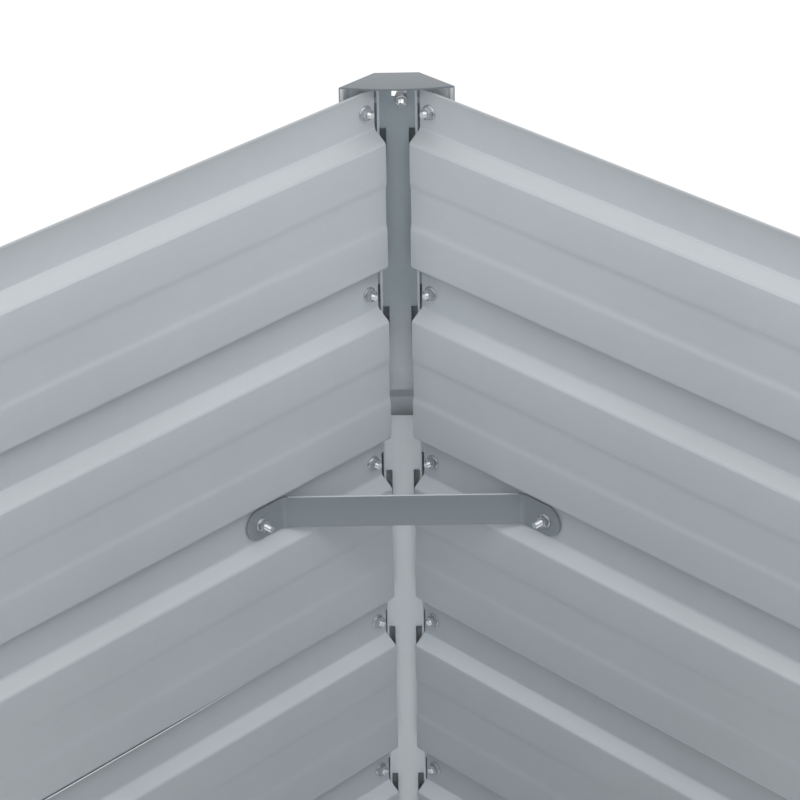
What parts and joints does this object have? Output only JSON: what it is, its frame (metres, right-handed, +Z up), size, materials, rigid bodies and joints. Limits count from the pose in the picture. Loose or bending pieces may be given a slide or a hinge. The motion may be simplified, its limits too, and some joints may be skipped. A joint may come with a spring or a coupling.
{
  "type": "raised garden bed",
  "caption": "Tall square raised garden bed of ribbed galvanised sheet steel, open at top and bottom, with bolted hollow corner posts, post caps and flat corner braces.",
  "frame": {"origin": "on the ground, in the middle of the bed", "axes": "+Z up, +X to the right along the front wall, +Y from the front wall to the back wall"},
  "size_m": [1.0014, 1.0014, 0.77],
  "materials": {
    "galvanised_wall": "satin zinc coating",
    "galvanised_post": "satin zinc coating",
    "cap_steel": "dull zinc coating",
    "brace_steel": "dull, darkened zinc coating",
    "zinc_plate": "bright zinc plating"
  },
  "bodies": {
    "root": {"wall_upper_front": "galvanised_wall", "wall_lower_front": "galvanised_wall", "wall_upper_right": "galvanised_wall", "wall_lower_right": "galvanised_wall", "wall_upper_back": "galvanised_wall", "wall_lower_back": "galvanised_wall", "wall_upper_left": "galvanised_wall", "wall_lower_left": "galvanised_wall", "inner_post_upper_front_left": "galvanised_post", "inner_post_lower_front_left": "galvanised_post", "outer_post_upper_front_left": "galvanised_post", "outer_post_lower_front_left": "galvanised_post", "cap_front_left": "cap_steel", "cap_screw_front_left": "zinc_plate", "cap_nut_front_left": "zinc_plate", "corner_brace_front_left": "brace_steel", "brace_screw_front_left_1": "zinc_plate", "brace_screw_front_left_2": "zinc_plate", "brace_nut_front_left_1": "zinc_plate", "brace_nut_front_left_2": "zinc_plate", "inner_post_upper_front_right": "galvanised_post", "inner_post_lower_front_right": "galvanised_post", "outer_post_upper_front_right": "galvanised_post", "outer_post_lower_front_right": "galvanised_post", "cap_front_right": "cap_steel", "cap_screw_front_right": "zinc_plate", "cap_nut_front_right": "zinc_plate", "corner_brace_front_right": "brace_steel", "brace_screw_front_right_1": "zinc_plate", "brace_screw_front_right_2": "zinc_plate", "brace_nut_front_right_1": "zinc_plate", "brace_nut_front_right_2": "zinc_plate", "inner_post_upper_back_right": "galvanised_post", "inner_post_lower_back_right": "galvanised_post", "outer_post_upper_back_right": "galvanised_post", "outer_post_lower_back_right": "galvanised_post", "cap_back_right": "cap_steel", "cap_screw_back_right": "zinc_plate", "cap_nut_back_right": "zinc_plate", "corner_brace_back_right": "brace_steel", "brace_screw_back_right_1": "zinc_plate", "brace_screw_back_right_2": "zinc_plate", "brace_nut_back_right_1": "zinc_plate", "brace_nut_back_right_2": "zinc_plate", "inner_post_upper_back_left": "galvanised_post", "inner_post_lower_back_left": "galvanised_post", "outer_post_upper_back_left": "galvanised_post", "outer_post_lower_back_left": "galvanised_post", "cap_back_left": "cap_steel", "cap_screw_back_left": "zinc_plate", "cap_nut_back_left": "zinc_plate", "corner_brace_back_left": "brace_steel", "brace_screw_back_left_1": "zinc_plate", "brace_screw_back_left_2": "zinc_plate", "brace_nut_back_left_1": "zinc_plate", "brace_nut_back_left_2": "zinc_plate"}
  },
  "joints": []
}
